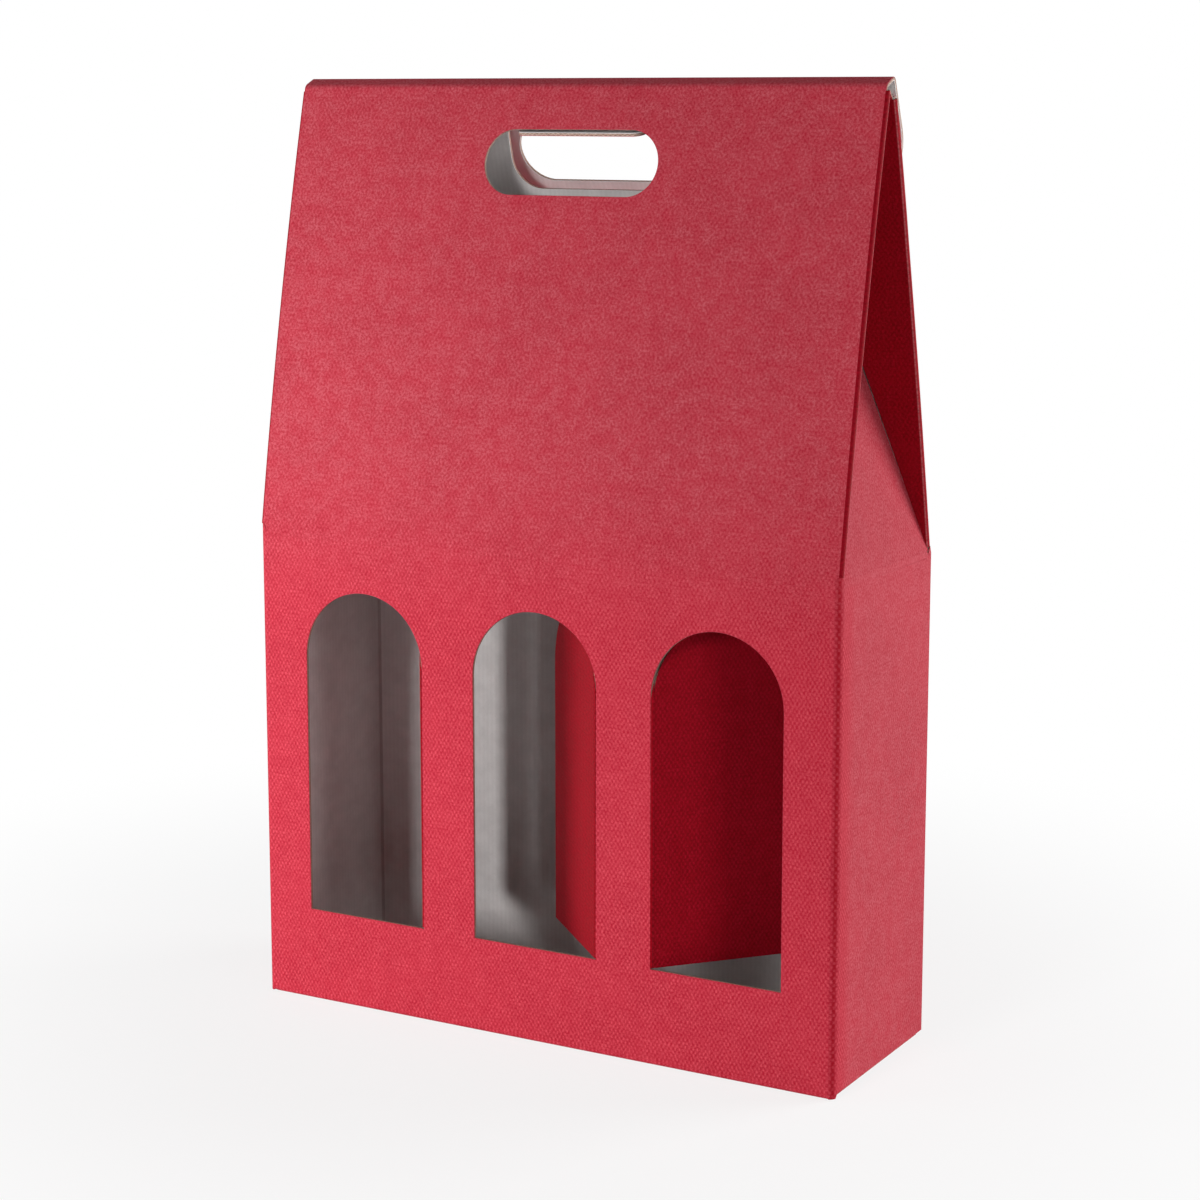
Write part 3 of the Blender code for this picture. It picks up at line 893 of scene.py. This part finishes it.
def bowed(side, shoulder_end):
    """The bulge of a roof panel by the distance along its path."""
    return lambda t: ROOF_BOW[side](t - shoulder_end + CREASE_REACH)


def bow_steps(start, end):
    """Where a panel is divided so that it can bulge."""
    count = math.ceil((end - start) / BOW_STEP)
    return [start + (end - start) * step / count for step in range(1, count)]


def flank_span(side):
    """How far up its roof panel a gusset flank starts and ends, from the shoulder crease."""
    slope = FRONT_SLOPE - RIDGE_REACH if side == "front" else BACK_SLOPE
    return BOARD * GUSSET_RISE / (DEPTH / 2) * FLANK_ROOT_SHARE, slope - FLANK_HEAD_CLEARANCE[side]


def roof_shape(side, start, end):
    """A roof panel's outline and folds. It is drawn in along each side where the gusset's fold runs."""
    half, edge = ROOF_HALF, SIDE_EDGE
    flank_low, flank_high = flank_span(side)
    low, high = start - CREASE_REACH + flank_low, start - CREASE_REACH + flank_high
    right = [(SHOULDER_HALF, start), (edge, low), (edge, high), (half, high), (half, end)]
    left = [(-x, t) for x, t in reversed(right)]
    folds = [((-SHOULDER_HALF, start), (SHOULDER_HALF, start))]
    folds += [((x, start), (math.copysign(edge, x), low)) for x in (-SHOULDER_HALF, SHOULDER_HALF)]
    folds += [((x, low), (x, high)) for x in (-edge, edge)]
    return polygon(right + left), folds


def make_front_roof():
    """The front roof panel with its handle hole, the ridge strip and the closing flap behind it."""
    place, path = wall_chain(FRONT_LEAN, 0, DEPTH / 2)
    shoulder_end = path.length
    roof_end = path.line(FRONT_SLOPE - CREASE_REACH - RIDGE_REACH).length
    strip_start = path.fold(RIDGE_REACH / math.tan(RIDGE_FOLD / 2), RIDGE_FOLD).length
    strip_end = path.line(STRIP_WIDTH - RIDGE_REACH - FLAP_REACH).length
    flap_start = path.fold(FLAP_REACH / math.tan(FLAP_FOLD / 2), FLAP_FOLD).length
    path.line(FLAP_LENGTH - FLAP_REACH)
    bow = bowed("front", shoulder_end)
    bent = over(place, path, lambda t: bow(t) if t < roof_end else 0.0)

    def grain(s, t):
        return s, SHOULDER + t

    half = ROOF_HALF
    crease("front_shoulder_crease", SHOULDER_HALF, 0, shoulder_end, path, bent, grain)

    hole_top = shoulder_end + FRONT_SLOPE - CREASE_REACH - HANDLE_BELOW_RIDGE
    hole = rounded_slot(hole_top - HANDLE_HEIGHT, hole_top, HANDLE_LENGTH / 2)
    outline, folds = roof_shape("front", shoulder_end, roof_end)
    folds.append(((-half, roof_end), (half, roof_end)))
    steps = bow_steps(shoulder_end, roof_end)
    roof = board("front_roof_sheet", "front_roof", outline, bent, [hole], (), steps, folds, grain)
    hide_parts("front_roof_panel")

    crease("ridge_front_crease", half, roof_end, strip_start, path, bent, grain, True)
    outline = box_outline(-half, half, strip_start, strip_end)
    folds = [((-half, strip_start), (half, strip_start)), ((-half, strip_end), (half, strip_end))]
    strip = board("ridge_strip_sheet", "ridge", outline, bent, folds=folds, grain=grain)
    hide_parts("ridge_strip")

    crease("ridge_back_crease", half, strip_end, flap_start, path, bent, grain, True)
    make_flap(path, bent, grain, flap_start)


def make_flap(path, bent, grain, start):
    """The closing flap with its hole, and the locking tongue that is folded forward out of the hole."""
    half, root = ROOF_HALF, TONGUE_ROOT_WIDTH / 2
    hole_top = start + HANDLE_BELOW_FLAP_CREASE - FLAP_REACH
    hole = rounded_slot(hole_top, hole_top + HANDLE_HEIGHT, HANDLE_LENGTH / 2)
    folds = [((-half, start), (half, start)), ((-root, hole_top), (root, hole_top))]
    outline = raised(trapezium(0, path.length - start, half, half - FLAP_TAPER, FLAP_RADIUS), start)
    flap = board("closing_flap_sheet", "flap", outline, bent, [hole], (-root, root), (), folds, grain)
    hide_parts("closing_flap")

    at, _ = path.read(hole_top)
    tongue_path = Path(at, path.heading)
    fold_end = tongue_path.fold(TIGHT_RADIUS, TONGUE_FOLD).length
    tongue_path.line(TONGUE_LENGTH)
    tongue_bent = over(facing(0, DEPTH / 2, SHOULDER), tongue_path)

    def tongue_grain(s, t):
        return s, SHOULDER + hole_top + t

    crease("tongue_crease", root, 0, fold_end, tongue_path, tongue_bent, tongue_grain, True)
    outline = trapezium(0, TONGUE_LENGTH - fold_end, root, TONGUE_TIP_WIDTH / 2, TONGUE_RADIUS)
    outline = raised(outline, fold_end)
    folds = [((-root, fold_end), (root, fold_end))]
    tongue = board("locking_tongue_sheet", "tongue", outline, tongue_bent, folds=folds, grain=tongue_grain)
    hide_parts("locking_tongue")


def make_back_roof():
    """The back roof panel, with a slot for the handle and the tongue that is open at its top edge."""
    place, path = wall_chain(BACK_LEAN, math.pi, DEPTH / 2)
    start = path.length
    end = path.line(BACK_SLOPE - CREASE_REACH).length
    bent = over(place, path, bowed("back", start))

    def grain(s, t):
        return s - WIDTH - DEPTH, SHOULDER + t

    crease("back_shoulder_crease", SHOULDER_HALF, 0, start, path, bent, grain)
    edge = HANDLE_LENGTH / 2
    sill = start - CREASE_REACH + SLOT_SILL
    slot = [(edge, end, 0), (edge, sill, SLOT_RADIUS)]
    slot += [(-edge, sill, SLOT_RADIUS), (-edge, end, 0)]
    sides, folds = roof_shape("back", start, end)
    outline = []
    for point in sides:
        outline.append((point.x, point.y, 0))
        if point.x > edge and abs(point.y - end) < ON_LINE:
            outline += slot
    steps = bow_steps(start, end)
    roof = board("back_roof_sheet", "back_roof", fillet(outline), bent, (), (), steps, folds, grain)
    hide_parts("back_roof_panel")


# The gussets
def flank_reach(side, lean, angle, up):
    """How far from its crease a flank goes before it meets the opposite one on the box's mid-plane."""
    depth = HALF_DEPTH - up * math.sin(lean) - GAP + ROOF_BOW[side](up)
    return min(DEPTH / 2, depth / (math.sin(angle) * math.cos(lean)) - BOARD * MEETING_SHARE)


def flank_corners(side, lean, angle, low, high):
    """A flank's corners, as (distance up its roof panel, distance from its fold)."""
    slope = GUSSET_RISE / (DEPTH / 2)
    apex = min(flank_reach(side, lean, angle, GUSSET_RISE), DEPTH / 2 - 2 * BOARD)
    corners = [(low, 0), (high, 0)]
    if side == "back":
        corners += [(high + up, away) for up, away in BACK_FLANK_HEAD]
    corners.append((high, flank_reach(side, lean, angle, high)))
    return corners + [(GUSSET_RISE, apex), ((apex + BOARD + DIAGONAL_GAP) * slope, apex)]


def make_flank(side, azimuth, lean, hand):
    """One gusset flank, folded in behind its roof panel, and the fold that it hangs on."""
    angle = FLANK_ANGLE[side]
    place = facing(azimuth, DEPTH / 2, SHOULDER) @ Matrix.Rotation(-lean, 4, "X")
    path = Path((hand * SIDE_EDGE, 0), 0 if hand > 0 else math.pi, hand)
    fold_end = path.fold(TIGHT_RADIUS, math.pi - angle).length
    path.line(DEPTH / 2)
    low, high = flank_span(side)
    bent = beside(place, path, -hand, ROOF_BOW[side], fold_end)

    def grain(s, t):
        return hand * (WIDTH + t), SHOULDER - hand * s

    gusset = "right" if hand * math.cos(azimuth) > 0 else "left"
    name = gusset + "_gusset_" + side + "_flank"
    ends = sorted((-hand * low, -hand * high))
    fold_line = ((ends[0], fold_end), (ends[1], fold_end))
    wear_and_shade_level = fold_wear_and_shade(0, fold_end, FLANK_WEAR, FLANK_WEAR_SPREAD, FLANK_WEAR_PEAK[side])
    cuts = [-hand * up for up in bow_steps(low, high)]
    steps = path.marks(0, fold_end)
    outline = box_outline(*ends, 0, fold_end)
    folds = [((ends[0], 0), (ends[1], 0)), fold_line]
    fold = board(name + "_fold", None, outline, bent, (), cuts, steps, folds, grain, wear_and_shade_level, True)
    middle = (ends[0] + ends[1]) / 2
    tuple(bent(middle, 0, 0))
    tuple(bent(middle, fold_end, 0))
    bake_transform(fold)

    outline = [(-hand * up, fold_end + away) for up, away in flank_corners(side, lean, angle, low, high)]
    if hand > 0:
        outline = outline[::-1]
    outline = tidy([Vector(point) for point in outline])
    flank = board(name + "_sheet", name, outline, bent, (), cuts, (), [fold_line], grain, None, True)
    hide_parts(name)


def make_gusset_centre(gusset, azimuth):
    """The middle triangle of a gusset, folded in over its side wall."""
    place, path = wall_chain(GUSSET_LEAN, azimuth, WIDTH / 2)
    start = path.length
    path.line(GUSSET_RISE)
    bent = over(place, path)
    half = DEPTH / 2
    run = half / GUSSET_RISE

    def grain(s, t):
        return s + math.copysign((WIDTH + DEPTH) / 2, azimuth), SHOULDER + t

    body = gusset + "_gusset"
    corner = half - CORNER_RADIUS - BOARD / 2
    name = body + "_shoulder_crease"
    crease(name, corner, 0, start, path, bent, grain, taper=start * run)
    edge = half - BOARD - DIAGONAL_GAP
    high = start - CREASE_REACH + (edge - BOARD / 2) / run
    low_half = edge - CREASE_REACH * run
    outline = trapezium(start, high, low_half, BOARD / 2)
    folds = [((-low_half, start), (low_half, start))]
    centre = board(body + "_centre_sheet", body, outline, bent, folds=folds, grain=grain)
    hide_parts(body + "_centre")


def make_gussets():
    """Both gussets, of two flanks and a centre each."""
    for hand in (1, -1):
        make_flank("front", 0, FRONT_LEAN, hand)
        make_flank("back", math.pi, BACK_LEAN, hand)
    make_gusset_centre("right", math.pi / 2)
    make_gusset_centre("left", -math.pi / 2)


# The dividers
def make_divider(side, hinge, edge):
    """One window's cut-out, hanging on an upright edge of its window and pushed in."""
    path = Path((edge, 0), math.pi if hinge > 0 else 0.0, -hinge)
    fold_end = path.fold(TIGHT_RADIUS, swing(side + "_divider_swing")).length
    path.line(WINDOW_WIDTH)
    bent = beside(facing(0, DEPTH / 2), path, hinge)

    def grain(s, t):
        return edge - hinge * t, hinge * s

    body = side + "_divider"
    low, high = WINDOW_SILL + CUT_CLEARANCE, WINDOW_SILL + WINDOW_HEIGHT - CUT_CLEARANCE
    upright = high - WINDOW_WIDTH / 2
    width = WINDOW_WIDTH - 2 * CUT_CLEARANCE
    radius = width / 2
    rise = high - radius
    strip_rise = rise + math.sqrt(radius**2 - (radius - fold_end) ** 2)
    ends = sorted((hinge * low, hinge * upright))
    fold_line = ((hinge * low, fold_end), (hinge * rise, fold_end))
    # Painted shade darkens the divider's fold
    wear_and_shade_level = fold_wear_and_shade(0, fold_end, DIVIDER_FOLD_SHADE)

    # The strip over the fold covers the foot of the arch too
    corners = [(low, 0), (upright, 0), (strip_rise, fold_end), (low, fold_end)]
    outline = polygon([(hinge * up, away) for up, away in corners])
    if hinge < 0:
        outline = outline[::-1]
    steps = path.marks(0, fold_end)
    folds = [((ends[0], 0), (ends[1], 0)), fold_line]
    strip = board(body + "_fold", None, outline, bent, (), (), steps, folds, grain, wear_and_shade_level, True)
    middle = (ends[0] + ends[1]) / 2
    start, end = bent(middle, 0, 0), bent(middle, fold_end, 0)
    tuple(start)
    tuple(end)
    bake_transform(strip)

    # The flap's own arch starts at the fold's end, so that it fits its window when it is closed
    flap = [point for point in arch(fold_end, fold_end + width, low, high) if point.x > fold_end + ON_LINE]
    foot = next(index for index, point in enumerate(flap) if abs(point.y - low) < ON_LINE)
    flap = flap[foot:] + flap[:foot]
    flap += [Vector((fold_end, rise)), Vector((fold_end, low))]
    outline = [Vector((hinge * y, x)) for x, y in flap]
    if hinge > 0:
        outline = outline[::-1]
    piece = board(body + "_sheet", body, outline, bent, (), (), (), [fold_line], grain, None, True)
    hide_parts(body + "_flap")


def make_dividers():
    """The cut-outs of the three windows."""
    for (side, hinge), (left, right) in zip(DIVIDER_HINGE.items(), window_edges()):
        make_divider(side, hinge, right if hinge > 0 else left)


# The locked bottom: long flaps folded under the front and back, and end flaps over them inside
BOTTOM_START = BOTTOM_RADIUS + BOARD / 2
BOTTOM_WALL = DEPTH / 2 - BOARD - GAP


def make_long_flap(side, azimuth):
    """A front or back flap, stepped so that it hooks past the other one, and its glued corner."""
    path = Path((BOTTOM_START, 0), math.pi, -1)
    fold_end = path.fold(BOTTOM_RADIUS, math.pi / 2).length
    path.line(DEPTH)
    bent = over(facing(azimuth, DEPTH / 2), path, hand=-1)

    def grain(s, t):
        return -s, -t

    half_width = WIDTH / 2 - BOARD - GAP
    step = BOTTOM_STEP_LENGTH / 2
    near, far = -BOTTOM_OVERLAP - GAP / 2, BOTTOM_OVERLAP - GAP / 2
    diagonal = GAP * math.sqrt(2)
    inner = half_width - (far + BOTTOM_WALL)
    base = fold_end - (BOTTOM_RADIUS + BOARD / 2 - DEPTH / 2)
    corners = [(inner - diagonal, base + far, 0), (step, base + far, BOTTOM_STEP_RADIUS)]
    corners += [(-step, base + near, BOTTOM_STEP_RADIUS), (-half_width, base + near, 0)]
    corners += [(-half_width, 0, 0), (half_width - diagonal, 0, 0)]
    folds = [((-half_width, 0), (half_width, 0))]
    steps = path.marks(0, fold_end)
    flap = board("bottom_" + side + "_sheet", "sleeve", fillet(corners), bent, (), (), steps, folds, grain)
    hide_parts("bottom_" + side + "_flap")
    corner = polygon([(half_width, base + far), (inner, base + far), (half_width, base - BOTTOM_WALL)])
    glued = board("bottom_" + side + "_corner_sheet", "sleeve", corner, bent, grain=grain)
    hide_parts("bottom_" + side + "_glue_corner")


def make_end_flap(side, azimuth):
    """A tapered flap under a side wall, which lies on the long flaps."""
    path = Path((BOTTOM_START, 0), math.pi, -1)
    path.line(-BOARD - GAP)
    fold_end = path.fold(BOTTOM_RADIUS, math.pi / 2).length
    path.line(END_FLAP_LENGTH)
    bent = over(facing(azimuth, WIDTH / 2), path, hand=-1)
    half, tip = BOTTOM_WALL, BOTTOM_WALL - END_FLAP_TAPER
    end = fold_end + END_FLAP_LENGTH
    outline = polygon([(-half, 0), (half, 0), (half, fold_end), (tip, end), (-tip, end), (-half, fold_end)])
    folds = [((-half, 0), (half, 0))]
    steps = path.marks(0, fold_end)
    flap = board("bottom_" + side + "_sheet", "sleeve", outline, bent, (), (), steps, folds)
    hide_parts("bottom_" + side + "_flap")


def make_bottom():
    """The two long flaps and the two end flaps."""
    make_long_flap("front", 0)
    make_long_flap("back", math.pi)
    make_end_flap("right", math.pi / 2)
    make_end_flap("left", -math.pi / 2)


# Camera, floor and lights
def make_camera():
    """The photograph's view."""
    data = bpy.data.cameras.new("camera")
    data.lens = CAMERA_LENS
    data.sensor_width = SENSOR_WIDTH
    data.shift_y = CAMERA_SHIFT
    data.clip_start, data.clip_end = CLIP_RANGE
    camera = placed("camera", data)
    camera.location = CAMERA_PLACE
    camera.rotation_euler = (math.pi / 2 + CAMERA_PITCH, 0, CAMERA_YAW)
    bpy.context.scene.camera = camera


def floor_material():
    """A pale floor that goes over to the white of the backdrop away from the box."""
    n = Nodes(bpy.data.materials.new("pale_floor"))
    position = n.add("TexCoord").outputs["Object"]
    far = n.add("VectorMath", {0: position}, operation="LENGTH").outputs["Value"]
    white = n.times(n.span(far, *FLOOR_WHITE), n.seen())
    speckle = n.noise(position, 60.0, 3.0, 0.6)
    n.set("Base Color", n.mix(speckle, *FLOOR_COLOURS))
    n.set("Roughness", n.span(speckle, 0.2, 0.8, 0.7, 0.8))
    glow = n.add("Emission", {"Color": (1, 1, 1), "Strength": 1.0}).outputs[0]
    blend = n.add("MixShader", {0: white, 1: n.shader.outputs[0], 2: glow}).outputs[0]
    n.tree.links.new(blend, n.tree.nodes["Material Output"].inputs["Surface"])
    return n.owner


def make_floor():
    """A disc just under the box."""
    mesh = bpy.data.meshes.new("floor")
    shape = bmesh.new()
    bmesh.ops.create_circle(shape, cap_ends=True, segments=FLOOR_SIDES, radius=FLOOR_RADIUS)
    shape.to_mesh(mesh)
    shape.free()
    mesh.materials.append(floor_material())
    floor = placed("floor", mesh)
    floor.location.z = CAD_LOW.z - FLOOR_DROP


def make_light(name, azimuth, elevation, distance, size, level):
    """A soft lamp on the middle of the front, its azimuth turned from there to the right."""
    azimuth, elevation = math.radians(azimuth), math.radians(elevation)
    across = math.cos(elevation)
    aim = Vector((math.sin(azimuth) * across, -math.cos(azimuth) * across, math.sin(elevation)))
    data = bpy.data.lights.new(name, "AREA")
    data.shape = "RECTANGLE"
    data.size, data.size_y = size
    data.energy = (math.pi * distance) ** 2 * level
    light = placed(name, data)
    light.location = Vector(LIT_POINT) + distance * aim
    light.rotation_euler = aim.to_track_quat("Z", "Y").to_euler()


def make_world():
    """White to the camera and to glossy rays, and a weak fill light for everything else."""
    n = Nodes(bpy.data.worlds.new("studio"), "Background")
    n.set("Color", (1, 1, 1))
    n.set("Strength", n.span(n.seen(), 0.0, 1.0, WORLD_LEVEL, 1.0))
    bpy.context.scene.world = n.owner


make_sleeve()
make_front_roof()
make_back_roof()
make_gussets()
make_dividers()
make_bottom()
make_camera()
make_floor()
make_world()
for lamp, values in LAMPS.items():
    make_light(lamp, *values)
bpy.context.scene.view_settings.view_transform = "Standard"
